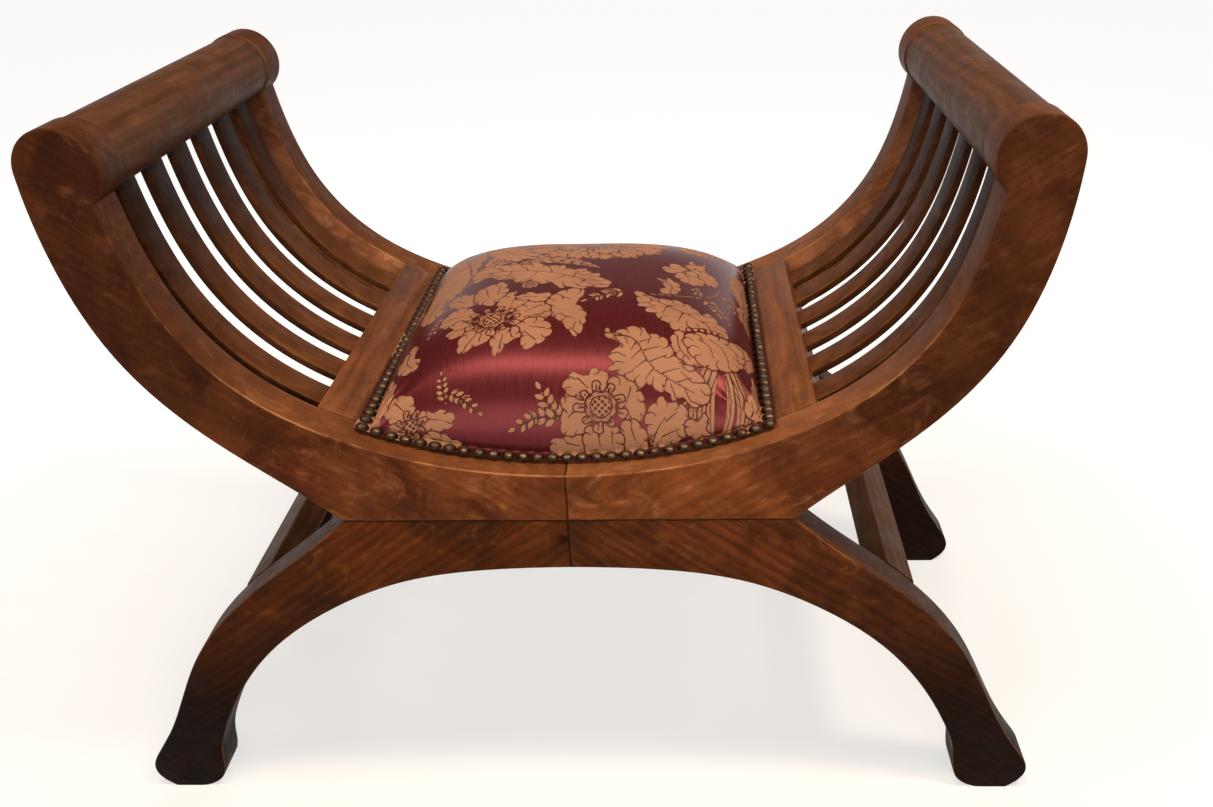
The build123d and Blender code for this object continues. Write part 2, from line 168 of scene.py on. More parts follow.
def waxed_walnut(name, turn, shift, face, top, worn, stripe=1.0, blotch=1.0, joint=0.0, foot=0.0,
                 head=0.0, head_face=1.0, rises=(0.37, 0.52), face_rises=(0.325, 0.43), knot=None,
                 endways=False):
    """Stained and waxed walnut.  The grain runs along X once the board is turned by turn degrees
    about Y, or along Y in a piece that lies endways.  Growth rings are 5 to 9 mm apart, streaks
    about 2 mm wide and pores, drawn coarser than they are, 0.6 mm wide and 8 mm long.  The sawn
    faces have a ground, a dark and a light tone.  stripe and blotch say how strongly the grain and
    the clouded figure show.  foot is the share of colour left at the soles by painted shade that
    darkens the wood towards the floor; head and head_face are the shares left by painted shade at
    the top of the edges and of the faces, which sets in between the heights that rises and
    face_rises give."""
    material, place = new_material(name)
    ground, deep, warm = face.split()
    parted = add("SeparateXYZ", {0: place})
    up = parted.outputs[2]
    order = (1, 0, 2) if endways else (0, 1, 2)
    swapped = add("CombineXYZ", {i: parted.outputs[k] for i, k in enumerate(order)})
    along = add("Mapping", {"Vector": swapped, "Location": shift, "Rotation": (0, math.radians(turn), 0)})
    # clouded figure 60 to 120 mm across, and within it lighter flames of 10 to 30 mm
    clouded = ease(noise(along, 12.0, 5.0, 0.6, 0.8), 0.36, 0.62)
    flame = noise(stretched(along, 0.55), 48.0, 6.0, 0.66, 1.4)
    flamed = ease(flame, 0.5, 0.72, 0.0, 0.85 * blotch)
    # growth rings, bent by the clouded figure
    pull = stretched(along, 0.22)
    wander = noise(pull, 9.0, 2.0)
    bent = add("VectorMath", {0: wander.outputs["Color"], 1: (0.06, 0.06, 0.06), 2: pull},
               operation="MULTIPLY_ADD")
    rings = add("TexWave", {"Vector": bent, "Scale": 34.0, "Distortion": 2.5, "Detail": 3.0,
                            "Detail Scale": 2.0}, bands_direction="Z")
    # streaks and pores, drawn out along the grain
    drawn = stretched(along, 0.06)
    streaky = ramp(noise(drawn, 240.0, 5.0, 0.62), 0.38, 0.68)
    pores = ease(noise(drawn, 1500.0, 1.0), 0.6, 0.72)
    # scratches and rubs across the grain, 0.5 mm wide
    crossing = add("Mapping", {"Vector": along, "Scale": (1.0, 0.05, 0.05), "Rotation": (0, 0.5, 0)})
    scratched = ease(noise(crossing, 700.0, 2.0), 0.64, 0.76)
    # the sawn faces against the shaped edges, and the rounded corner between them
    facing = add("SeparateXYZ", {0: add("TexCoord").outputs["Normal"]})
    flat = reckon("ABSOLUTE", facing.outputs[1])
    is_face = ease(flat, 0.35, 0.9)
    corner = ease(times(flat, reckon("SUBTRACT", 1.0, flat)), 0.1, 0.24)
    rub = noise(along, 26.0, 4.0, 0.6)
    rubbed = ease(rub, 0.38, 0.66)
    # sitting rubs the low part of the curve, and hardly reaches the heads
    handled = ease(up, 0.42, 0.54, 0.8, 0.06)
    wear = times(corner, rubbed, handled)

    sawn = blend(flamed, blend(clouded, deep, ground), warm)
    shaped = blend(is_face, blend(0.35, top, blend(flamed, top, worn)), sawn)
    ringed = ramp(rings.outputs[1], 0, 1, 1.0 - 0.26 * stripe, 1.0 + 0.08 * stripe)
    streaked = ramp(streaky, 0, 1, 1.0 - 0.24 * stripe, 1.0 + 0.14 * stripe)
    spotted = ramp(pores, 0, 1, 1.0, 0.74)
    mottled = ramp(rub, 0.3, 0.7, 1.0 - 0.24 * blotch, 1.0 + 0.2 * blotch)
    marked = ramp(scratched, 0, 1, 1.0, 1.3)
    shade = times(ringed, streaked, spotted, mottled, marked)
    if joint:
        # dirt along the glued joints on the centre line and where arms stand on legs
        level = reckon("ABSOLUTE", reckon("SUBTRACT", up, PARTING_Z))
        nearest = reckon("MINIMUM", reckon("ABSOLUTE", parted), level)
        uneven = ramp(flame, 0.35, 0.65, joint * 0.35, joint * 1.7)
        shade = times(shade, ease(reckon("DIVIDE", nearest, uneven), 0.4, 2.4, 0.16))
    if knot:
        # a dark ragged spot, 3 mm across, that fades within 8 mm
        beside = add("CombineXYZ", {0: parted, 2: up})
        from_knot = add("VectorMath", {0: beside, 1: knot}, operation="DISTANCE")
        ragged = times(reckon("DIVIDE", from_knot.outputs["Value"], KNOT_REACH), flame)
        shade = times(shade, ease(ragged, 0.08, 0.42, 0.3))
    if foot:
        # painted shade, darker towards the floor and darkest at the soles
        shade = times(shade, ease(up, 0.09, 0.3, foot))
    if head:
        # painted shade, darker towards the top of the edges and of the faces: it darkens the heads of the
        # arms, and on the slats it is the shadow of the hand rails
        high = ease(up, *rises, 1.0, head)
        face_high = ease(up, *face_rises, 1.0, head_face)
        shade = times(shade, add("Mix", {0: is_face, 2: high, 3: face_high}))
    toned = add("VectorMath", {0: shaped, "Scale": shade}, operation="SCALE")
    edged = blend(wear, toned, worn)

    height = reckon("SUBTRACT", reckon("SUBTRACT", streaky, pores), scratched)
    fine = add("Bump", {"Height": height, "Strength": 0.35, "Distance": 0.0004})
    coarse = add("Bump", {"Height": noise(along, 30.0, 3.0), "Strength": 0.65, "Distance": 0.0035,
                          "Normal": fine})
    sheen = ramp(rub, 0.3, 0.7, 0.38, 0.58)
    surface({"Base Color": edged, "Roughness": sheen, "Normal": coarse,
                   "Specular IOR Level": WAX_GLOSS})
    return material


def dressed_copy(name, node, bevel=0.0):
    """A merged copy of a sawn piece, with its corners broken if a bevel is given."""
    bpy.ops.object.select_all(action="DESELECT")
    piece = nodes[node].copy()
    piece.data = nodes[node].data.copy()
    piece.name = name
    bpy.context.scene.collection.objects.link(piece)
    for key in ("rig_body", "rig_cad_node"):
        if key in piece:
            del piece[key]
    piece.parent = None
    piece.select_set(True)
    bpy.context.view_layer.objects.active = piece
    bpy.ops.object.mode_set(mode="EDIT")
    bpy.ops.mesh.select_all(action="SELECT")
    bpy.ops.mesh.remove_doubles(threshold=MERGE)
    bpy.ops.mesh.customdata_custom_splitnormals_clear()
    bpy.ops.mesh.dissolve_limited(angle_limit=math.radians(1.0))
    bpy.ops.object.mode_set(mode="OBJECT")
    if bevel:
        edge = piece.modifiers.new("broken_corners", "BEVEL")
        edge.width = bevel
        edge.segments = 2
        edge.limit_method = "ANGLE"
        edge.angle_limit = math.radians(50)
        bpy.ops.object.modifier_apply(modifier=edge.name)
    bpy.ops.object.shade_smooth_by_angle(angle=math.radians(38))
    piece.data.materials.clear()
    return piece


def board(node, name, slot, turn, shift, bevel=0.0, **look):
    """A wooden piece in a walnut of its own, in place of the one from the CAD."""
    piece = dressed_copy(name, node, bevel)
    piece.data.materials.append(waxed_walnut(f"waxed_walnut_{node}", turn, shift, **look))
    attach(piece, "root")
    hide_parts(node)


# the left legs take a darker copy of the right legs' tones, as painted shade
LEG_TONES = {"left": "#683516 #4a2610 #7e4923", "right": "#733d1f #532c16 #88512b"}
for end, rear in LEG_PAIRS:
    for side, hand in SIDES:
        node = f"{end}_leg_{side}"
        # foot paints shade on the legs towards the floor
        board(node, f"{node}_board", "frame_wood", -hand * LEG_GRAIN, (0.37 * hand, 0.21 * rear, 0.11),
              face=LEG_TONES[side], top="#5f361c", worn="#8a5834", stripe=0.95, blotch=0.9,
              joint=JOINT_DIRT, foot=0.09, knot=KNOT if node == "front_leg_left" else None)

# ---- Stretchers ------------------------------------------------------
# One plain board between each front and rear leg, planed square with its corners taken off,
# dowelled in behind the legs.  Same walnut, less handled, so duller.
for side, hand in SIDES:
    node = f"leg_stretcher_{side}"
    board(node, f"{node}_board", "rail_wood", 0.0, (0.5 * hand, 0.3, 0.7), face="#5f3a20 #482812 #70482a",
          top="#643f24", worn="#855a38", stripe=0.8, blotch=0.7, endways=True)

# ---- Arms ------------------------------------------------------------
# Four boards sawn to the seat curve, each with a round head, standing on the legs and butted
# on the centre line.  The faces are reddish, the handled inner curve is greyer and rubbed
# pale along its corner.
ARM_GRAIN = -33.0         # degrees; the grain climbs outwards with the arm
# tones of the face, the painted shade at its head, and the heights this sets in between; the left front
# arm's tones are a darker copy, as painted shade, and the rear arms' a lighter copy, as painted light
ARM_FACES = {
    "front_arm_left": ("#7f4626 #572c17 #955a37", 0.50, (0.33, 0.43)),
    "front_arm_right": ("#90512c #67351b #a56842", 0.38, (0.33, 0.43)),
    "rear_arm_left": ("#ac6f4d #875436 #bc8560", 0.40, (0.44, 0.56)),
    "rear_arm_right": ("#ac6f4d #875436 #bc8560", 0.40, (0.44, 0.56)),
}
# the left tops are a darker copy of the right ones, as painted shade
ARM_TOPS = {"left": "#754427", "right": "#8a5433"}
for end, rear in LEG_PAIRS:
    for side, hand in SIDES:
        node = f"{end}_arm_{side}"
        face, face_shade, face_shade_from = ARM_FACES[node]
        # head and head_face paint shade that darkens the arms towards their heads
        board(node, f"{node}_board", "frame_wood", -hand * ARM_GRAIN, (0.83 * hand, 0.47 * rear, 0.29),
              face=face, top=ARM_TOPS[side], worn="#b07f52", stripe=0.4, blotch=1.25, joint=JOINT_DIRT,
              head=0.50, head_face=face_shade, face_rises=face_shade_from)

# ---- Rails and slats -------------------------------------------------
# Hand rails turned round, seat rails sawn to the seat curve, and twelve thin bent slats let
# into both.  Walnut, greyer on top from handling and light.
# the left top is a darker copy of the right one, as painted shade
SEAT_RAIL_TOPS = {"left": "#70432a", "right": "#7c4c31"}
RAIL_BEVEL = 0.0012
SLAT_BEVEL = 0.0013
SLAT_GRAIN = 50.0         # degrees, about the slope of the slats half way up
for side, hand in SIDES:
    node = f"hand_rail_{side}"
    board(node, f"{node}_turned", "rail_wood", 0.0, (0.9 * hand, 0.1, 0.4), face="#5e3c27 #482916 #6f462a",
          top="#5e3c27", worn="#7a5437", stripe=0.9, blotch=0.8, endways=True)
    node = f"seat_rail_{side}"
    board(node, f"{node}_board", "rail_wood", 0.0, (0.2 * hand, 0.6, 0.9), RAIL_BEVEL, endways=True,
          face="#794a2f #5c351e #8c5b3c", top=SEAT_RAIL_TOPS[side], worn="#9d6d48", stripe=0.8)
    for number in range(1, 7):
        node = f"arm_slat_{side}_{number}"
        # head and rises paint the shadow of the hand rail over the top of each slat
        board(node, f"{node}_bent", "slat_wood", hand * SLAT_GRAIN,
              (0.31 * number, 0.17 * number, 0.13 * number * hand), SLAT_BEVEL,
              face="#57311a #41230f #6a4022", top="#643b21", worn="#8a5a34", stripe=0.8, blotch=0.8,
              head=0.22, rises=(0.43, 0.56))

# ---- Dowels ----------------------------------------------------------
# Turned beech pins, glued into the joints and never seen once the chair is together.
beech, place = new_material("turned_beech")
grain = noise(place, 260.0, 3.0)
tone = blend(grain, "#b08a5c", "#cfae82")
fleck = add("Bump", {"Height": grain, "Strength": 0.2, "Distance": 0.0003})
surface({"Base Color": tone, "Roughness": 0.6, "Normal": fleck})
for joint in ("centre", "arm_to_leg", "seat_rail", "hand_rail", "stretcher"):
    dress(f"{joint}_dowels", beech)

# ---- Webbing, hessian and tacks --------------------------------------
# Five straps of jute webbing, 50 mm wide, tacked front and rear, with plain hessian over them.
# Seen only from below.


def jute(name, threads, loose, detail_scale, hairy, dark, pale, strength, depth):
    """Plain woven jute.  threads are the scales of warp and weft, and loose says how much they bend."""
    material, place = new_material(name)
    warp, weft = [
        add("TexWave", {"Vector": place, "Scale": scale, "Distortion": loose,
                        "Detail Scale": detail_scale}, bands_direction=way).outputs[1]
        for scale, way in zip(threads, "XY")]
    thread = reckon("ADD", times(weft, warp), noise(place, hairy, 4.0))
    rough = add("Bump", {"Height": thread, "Strength": strength, "Distance": depth})
    surface({"Base Color": blend(thread, dark, pale), "Roughness": 0.95, "Normal": rough})
    return material


dress("seat_webbing", jute("jute_webbing", (140.0, 120.0), 0.6, 3.0, 420.0, "#5b4526", "#a58a5e",
                           0.7, 0.0008))
dress("seat_hessian", jute("plain_hessian", (190.0, 190.0), 1.0, 4.0, 300.0, "#6d5735", "#b59c70",
                           0.6, 0.0005))

blued, place = new_material("blued_tack_steel")
tone = blend(noise(place, 500.0, 3.0), "#2a2c33", "#565a66")
surface({"Base Color": tone, "Metallic": 1.0, "Roughness": 0.4})
dress("webbing_tacks", blued)

# ---- Seat cover ------------------------------------------------------
# One piece of silk damask, drawn tight over the filling, gathered at the corners and turned
# under along its edge, where the nails hold it.  The ground is a burgundy satin that shines,
# the figure a dull gold weft.
NAIL_HALF_X = 0.169       # nail row from the middle of the seat
NAIL_HALF_Y = 0.180
CROWN_HALF_X = 0.1613     # where the crowned part of the cover begins
CROWN_HALF_Y = 0.1723
CROWN = 0.0949            # height of the crown over the flat edge
CROWN_X = (2.35, 0.55)    # how flat its top stays from side to side, and how steep its shoulder is
CROWN_Y = (4.0, 0.57)     # and the same from front to back
FLAT_RISE = 0.0041        # top of the cloth over the wooden seat curve
HEM_X = 0.0044            # cloth beyond the nail row
SEAT_X = np.array([0, 0.060, 0.120, 0.175, 0.225])
SEAT_Z = np.array([0.353, 0.3565, 0.3675, 0.386, 0.411])
seat_fit = np.polyfit(SEAT_X ** 2, SEAT_Z, 4)
ROWS = 48                 # grid cells from the middle to the edge of the crowned part
EDGE_ROWS = 4             # and from there to the cut edge
PARTS = 3                 # parts of each cell once the cloth has settled
HOLD = 0.0005             # the nails hold the cloth from this far inside the crowned part
SIM_STEPS = 20
SIM_SETTINGS = {"quality": 6, "mass": 0.25, "tension_stiffness": 20, "compression_stiffness": 12,
                "shear_stiffness": 8, "bending_stiffness": 0.3, "shrink_min": 0.004, "use_pressure": True,
                "uniform_pressure_force": 6.0, "vertex_group_mass": "held"}
SMOOTHINGS = 60           # rounds that keep the swell and take out the small creases
MOST_MOVED = 0.006        # the filling pushes the cloth by no more than this
NAIL_PITCH = 0.0124
NAIL_DIP = 0.0007         # the cloth sinks this much between two nails
DIP_REACH = 0.010         # and it does so over this much of its edge
GATHER_LINES = 17         # how close the gathers fan out, as radians of their wave to one of the fan
GATHER_OUT = 0.004        # they fan out from a point this far outside the crown's corner,
GATHER_REACH = 0.022      # and are deepest this far from it
GATHER_FAN = (0.12, 1.45)     # radians between which they lie
GATHER_FADE = 0.3         # radians over which they fade in and out
GATHERS = ((1, -1, 0.0020), (-1, -1, 0.0012), (1, 1, 0.0013), (-1, 1, 0.0012))     # corner, depth


def seat_height(x):
    """Height of the wooden seat curve."""
    return np.polyval(seat_fit, np.asarray(x) ** 2)


def crown_share(s, broad, shoulder):
    """Height of the filling at a share of the way from its middle to its edge."""
    return np.clip(1 - np.abs(np.clip(s, -1, 1)) ** broad, 0, 1) ** shoulder


def cloth_height(x, y):
    """Height of the cloth's outer side."""
    places = np.linspace(0, 0.2, 201)
    lean = np.sqrt(1 + np.interp(np.abs(x), places, np.gradient(seat_height(places), 0.001)) ** 2)
    full = crown_share(x / CROWN_HALF_X, *CROWN_X) * crown_share(y / CROWN_HALF_Y, *CROWN_Y)
    return seat_height(x) + FLAT_RISE * lean + CROWN * full


def even_stops(half, line, count):
    """Places along a half width whose spacing is even as measured over the cloth."""
    fine = half * np.sin(np.linspace(0, math.pi / 2, 4000))
    length = np.concatenate([[0], np.cumsum(np.hypot(np.diff(fine), np.diff(line(fine))))])
    stops = np.interp(np.linspace(0, length[-1], count), length, fine)
    return stops, length[-1]


stops_x, reach_x = even_stops(CROWN_HALF_X, lambda x: cloth_height(x, 0 * x), ROWS + 1)
stops_y, reach_y = even_stops(CROWN_HALF_Y, lambda y: cloth_height(0 * y, y), ROWS + 1)
edge = np.linspace(0, 1, EDGE_ROWS + 1)[1:]
stops_x = np.concatenate([stops_x, CROWN_HALF_X + edge * (NAIL_HALF_X + HEM_X - CROWN_HALF_X)])
stops_y = np.concatenate([stops_y, CROWN_HALF_Y + edge * (NAIL_HALF_Y + HEM_X - CROWN_HALF_Y)])
stops_x = np.concatenate([-stops_x[:0:-1], stops_x])
stops_y = np.concatenate([-stops_y[:0:-1], stops_y])
grid_x, grid_y = np.meshgrid(stops_x, stops_y, indexing="ij")
grid_z = cloth_height(grid_x, grid_y)


def grid_quads(index):
    """The four corners of each cell of a numbered grid."""
    return np.stack([index[:-1, :-1], index[1:, :-1], index[1:, 1:], index[:-1, 1:]], -1).reshape(-1, 4)


def sheet_mesh(name, xs, ys, zs):
    """A mesh of quads over a grid of points."""
    nx, ny = xs.shape
    points = np.stack([xs, ys, zs], -1).reshape(-1, 3)
    index = np.arange(nx * ny).reshape(nx, ny)
    quads = grid_quads(index)
    mesh = bpy.data.meshes.new(name)
    mesh.vertices.add(len(points))
    mesh.vertices.foreach_set("co", points.astype(np.float32).ravel())
    mesh.loops.add(quads.size)
    mesh.loops.foreach_set("vertex_index", quads.astype(np.int32).ravel())
    mesh.polygons.add(len(quads))
    mesh.polygons.foreach_set("loop_start", np.arange(0, quads.size, 4, dtype=np.int32))
    mesh.update(calc_edges=True)
    return mesh


def read_grid(mesh, shape):
    """The points of a sheet's mesh as three grids."""
    co = np.zeros(len(mesh.vertices) * 3, np.float32)
    mesh.vertices.foreach_get("co", co)
    co = co.reshape(*shape, 3).astype(float)
    return co[..., 0], co[..., 1], co[..., 2]


# the cloth is blown out a little by the filling while the nails hold its edge
trial = put("cover_trial", sheet_mesh("cover_trial", grid_x, grid_y, grid_z))
held = trial.vertex_groups.new(name="held")
outside = (np.abs(grid_x) > CROWN_HALF_X - HOLD) | (np.abs(grid_y) > CROWN_HALF_Y - HOLD)
held.add([int(i) for i in np.flatnonzero(outside.ravel())], 1.0, "REPLACE")
cloth = trial.modifiers.new("cloth", "CLOTH")
for name, value in SIM_SETTINGS.items():
    setattr(cloth.settings, name, value)
cloth.settings.effector_weights.gravity = 0.0
cloth.collision_settings.use_collision = False
for step in range(1, SIM_STEPS + 1):
    bpy.context.scene.frame_set(step)
drawn = trial.evaluated_get(bpy.context.evaluated_depsgraph_get())
blown_x, blown_y, blown_z = read_grid(drawn.data, grid_x.shape)
bpy.context.scene.frame_set(1)
move = np.stack([blown_x - grid_x, blown_y - grid_y, blown_z - grid_z], -1)
for _ in range(SMOOTHINGS):
    move[1:-1, 1:-1] = (move[:-2, 1:-1] + move[2:, 1:-1] + move[1:-1, :-2] + move[1:-1, 2:]) / 4
far = np.linalg.norm(move, axis=-1, keepdims=True)
move *= np.minimum(1, MOST_MOVED / np.maximum(far, 1e-9))
grid_x, grid_y, grid_z = grid_x + move[..., 0], grid_y + move[..., 1], grid_z + move[..., 2]
bpy.data.objects.remove(trial)


def finer(grid, axis, parts):
    """A grid with each cell parted along one axis, on a smooth curve through its points."""
    grid = np.moveaxis(grid, axis, 0)
    ahead = np.concatenate([grid[1:], 2 * grid[-1:] - grid[-2:-1]])
    behind = np.concatenate([2 * grid[:1] - grid[1:2], grid[:-1]])
    slope = (ahead - behind) / 2
    out = []
    for k in range(parts):
        t = k / parts
        a, b, c, d = 2 * t**3 - 3 * t**2 + 1, t**3 - 2 * t**2 + t, -2 * t**3 + 3 * t**2, t**3 - t**2
        out.append(a * grid[:-1] + b * slope[:-1] + c * grid[1:] + d * slope[1:])
    out = np.stack(out, 1).reshape(-1, *grid.shape[1:])
    return np.moveaxis(np.concatenate([out, grid[-1:]]), 0, axis)


fine_x, fine_y, fine_z = [finer(finer(g, 0, PARTS), 1, PARTS) for g in (grid_x, grid_y, grid_z)]
# flat cloth measures, from the middle of the seat along the cloth, in metres
step = np.hypot(np.diff(fine_x, axis=0), np.diff(fine_z, axis=0))
along_x = np.concatenate([np.zeros((1, step.shape[1])), np.cumsum(step, 0)])
along_x -= along_x[along_x.shape[0] // 2]
step = np.hypot(np.diff(fine_y, axis=1), np.diff(fine_z, axis=1))
along_y = np.concatenate([np.zeros((step.shape[0], 1)), np.cumsum(step, 1)], 1)
along_y -= along_y[:, [along_y.shape[1] // 2]]

# gathers fan out at the corners, and the cloth dips between one nail and the next
for sx, sy, depth in GATHERS:
    dx = CROWN_HALF_X + GATHER_OUT - sx * fine_x
    dy = CROWN_HALF_Y + GATHER_OUT - sy * fine_y
    away = np.hypot(dx, dy)
    turn = np.arctan2(dy, dx)
    fan = np.sin(turn * GATHER_LINES + 1.3 * sx + 0.7 * sy)
    fan *= np.exp(-((away - GATHER_REACH) / GATHER_REACH) ** 2)
    fan *= np.clip((turn - GATHER_FAN[0]) / GATHER_FADE, 0, 1)
    fan *= np.clip((GATHER_FAN[1] - turn) / GATHER_FADE, 0, 1)
    fine_z += depth * fan * (away > 0.006)
for reach, along, across, inside in ((reach_y, along_y, along_x, np.abs(fine_y) < CROWN_HALF_Y),
                                     (reach_x, along_x, along_y, np.abs(fine_x) < CROWN_HALF_X)):
    pull = NAIL_DIP * np.exp(-((reach - np.abs(along)) / DIP_REACH) ** 2) * inside
    fine_z += pull * np.cos(2 * math.pi * across / NAIL_PITCH)

# The figure is woven: flowers, leaves and sprays, drawn in millimetres on the flat cloth from
# the middle of the seat, with minus towards the front.  Each point of the cloth knows how far it
# lies from the figure's outline and from its nearest vein.
FAR = 30.0                # mm, further than any line is looked for
MARGIN = 4                # mm round a part within which its outline counts
TAPER = 0.55              # mm by which a vein thins towards its end
VEIN_INSET = 0.6          # mm that veins keep from the outline
cloth_s, cloth_t = along_x.ravel() * 1000, along_y.ravel() * 1000
figure, seed = np.full(cloth_s.shape, -FAR), np.full(cloth_s.shape, -FAR)
vein, near_vein = np.full(cloth_s.shape, FAR), np.full(cloth_s.shape, FAR)


def measure(line, s, t, closed):
    """Signed distance from points to a run of straight lines, positive inside a closed one.  An
    open one grows thinner towards its end."""
    line = np.asarray(line, float)
    ends = np.roll(line, -1, 0) if closed else line[1:]
    starts = line if closed else line[:-1]
    best = np.full(s.shape, 1e9)
    side = np.zeros(s.shape)
    taper = np.zeros(s.shape)
    inside = np.zeros(s.shape, bool)
    for k, ((x0, y0), (x1, y1)) in enumerate(zip(starts, ends)):
        dx, dy = x1 - x0, y1 - y0
        share = np.clip(((s - x0) * dx + (t - y0) * dy) / max(dx * dx + dy * dy, 1e-12), 0, 1)
        away = np.hypot(s - x0 - share * dx, t - y0 - share * dy)
        closer = away < best
        best = np.where(closer, away, best)
        side = np.where(closer, np.where(dx * (t - y0) >= dy * (s - x0), 1.0, -1.0), side)
        taper = np.where(closer, TAPER * (k + share) / len(starts), taper)
        if closed and abs(dy) > 1e-9:
            inside ^= ((y0 > t) != (y1 > t)) & (s < x0 + dx * (t - y0) / dy)
    return best * np.where(inside, 1.0, -1.0) if closed else (best + taper) * side


def ink(here, away, over):
    """Let a line hold where it lies over the others."""
    vein[here] = np.where(over, away, vein[here])
    near_vein[here] = np.where(over, np.abs(away), near_vein[here])


def weave_in(outline, veins=(), is_seed=False):
    """Lay one petal or leaf over what is already woven, with a dark line round it."""
    outline = np.asarray(outline, float)
    low, high = outline.min(0) - MARGIN, outline.max(0) + MARGIN
    here = np.flatnonzero((cloth_s > low[0]) & (cloth_s < high[0])
                          & (cloth_t > low[1]) & (cloth_t < high[1]))
    if not len(here):
        return
    s, t = cloth_s[here], cloth_t[here]
    depth = measure(outline, s, t, True)
    figure[here] = np.maximum(figure[here], depth)
    ink(here, depth, (depth > 0) | (np.abs(depth) < near_vein[here]))
    for line in veins:
        away = measure(line, s, t, False)
        ink(here, away, (depth > VEIN_INSET) & (np.abs(away) < near_vein[here]))
    seed[here] = np.where(depth > 0, depth if is_seed else -FAR, seed[here])


def curve(points, parts=5, closed=False):
    """A smooth run through a few points."""
    points = np.asarray(points, float)
    if closed:
        padded = np.concatenate([points[-1:], points, points[:2]])
    else:
        padded = np.concatenate([2 * points[:1] - points[1:2], points, 2 * points[-1:] - points[-2:-1]])
    out = []
    for i in range(len(padded) - 3):
        a, b, c, d = padded[i:i + 4]
        for k in range(parts):
            u = k / parts
            out.append(b + 0.5 * u * (c - a + u * (2 * a - 5 * b + 4 * c - d
                                                   + u * (3 * b - a - 3 * c + d))))
    return np.array(out if closed else out + [points[-1]])


def petal(points, *veins, pitch=12.0, depth=1.9, crease=0.30):
    """A petal or leaf drawn round its edge, with its veins.  The edge is notched every
    pitch mm, and from each notch a crease runs in, as a share of the way to the middle."""
    edge = curve(points, 6, True)
    run = np.linalg.norm(np.diff(np.concatenate([edge, edge[:1]]), axis=0), axis=1)
    place = (np.cumsum(run) - run) / run.sum()
    count = max(3, round(run.sum() / pitch))
    phase = place * count % 1.0
    way = np.roll(edge, -1, 0) - np.roll(edge, 1, 0)
    way /= np.maximum(np.linalg.norm(way, axis=1, keepdims=True), 1e-9)
    turned = np.sum(edge[:, 0] * np.roll(edge[:, 1], -1) - edge[:, 1] * np.roll(edge[:, 0], -1))
    outward = np.stack([way[:, 1], -way[:, 0]], 1) * np.sign(turned)
    bulge = depth * (np.abs(np.sin(math.pi * phase)) ** 0.6 - 0.6)
    middle = edge.mean(0)
    lines = [curve(line, 4) for line in veins]
    for k in range(count):
        start = edge[int(np.argmin(np.abs(place - k / count)))]
        reach = (middle - start) * crease * (1.0 + 0.55 * math.sin(2.1 * k))
        bend = np.array([-reach[1], reach[0]]) * 0.22
        lines.append(np.stack([start, start + reach * 0.5 + bend, start + reach]))
    weave_in(edge + outward * bulge[:, None], lines)


def disc(centre, size, lobes=0, is_seed=False):
    """A round calyx or berry, or the stippled seeds of a flower."""
    turn = np.linspace(0, 2 * math.pi, 48, endpoint=False)
    edge = size * (1 + (0.13 * np.abs(np.sin(turn * lobes / 2)) if lobes else 0 * turn))
    weave_in(np.stack([centre[0] + edge * np.cos(turn), centre[1] + edge * np.sin(turn)], 1),
             is_seed=is_seed)


def around(centre, way, reach, flat):
    """A point at a distance from a centre, in a circle drawn flat."""
    return centre[0] + reach * math.cos(way), centre[1] + reach * flat * math.sin(way)


def ring(centre, low, high, count, turn, flat=1.0):
    """A ring of narrow petals round the seeds."""
    for k in range(count):
        way = turn + 2 * math.pi * k / count
        reach = high * (1 + 0.12 * math.sin(3.3 * k))
        out = []
        for share, wide in ((0, 0.16), (0.5, 0.30), (0.82, 0.30), (0.97, 0.14), (1.0, 0), (0.97, -0.14),
                            (0.82, -0.30), (0.5, -0.30), (0, -0.16)):
            far = low * 0.6 + (reach - low * 0.6) * share
            out.append(around(centre, way + wide * 6.0 / count, far, flat))
        petal(out, [around(centre, way, low + (reach - low) * share, flat) for share in (0.35, 0.7)])


def bloom(centre, size, turn, petals=7, flat=1.0):
    """A full flower seen from above: broad scalloped petals, a ring of narrow ones and seeds."""
    for k in range(petals):
        way = turn + 2 * math.pi * ((k * 2) % petals) / petals
        reach = size * (1 + 0.14 * math.sin(2.7 * k + turn))
        out = []
        for lean, far in ((-0.30, 0.25), (-0.55, 0.62), (-0.42, 0.86), (-0.24, 0.88), (-0.12, 1.0),
                          (0.06, 0.93), (0.20, 1.0), (0.36, 0.86), (0.50, 0.78), (0.50, 0.55),
                          (0.30, 0.25)):
            out.append(around(centre, way + lean * 6.6 / petals, reach * far, flat))
        petal(out, *[[around(centre, way + lean * (r + 0.4), reach * r, flat) for r in (0.45, 0.62, 0.78)]
                     for lean in (-0.20, 0.16)])
    ring(centre, size * 0.2, size * 0.46, 9, turn, flat)
    disc(centre, size * 0.22, 8)
    disc(centre, size * 0.16, is_seed=True)


def stem(points, width=2.2):
    """A thin stalk."""
    rib = curve(points)
    way = np.gradient(rib, axis=0)
    square = np.stack([-way[:, 1], way[:, 0]], 1) / np.linalg.norm(way, axis=1, keepdims=True)
    weave_in(np.concatenate([rib + square * width / 2, (rib - square * width / 2)[::-1]]))


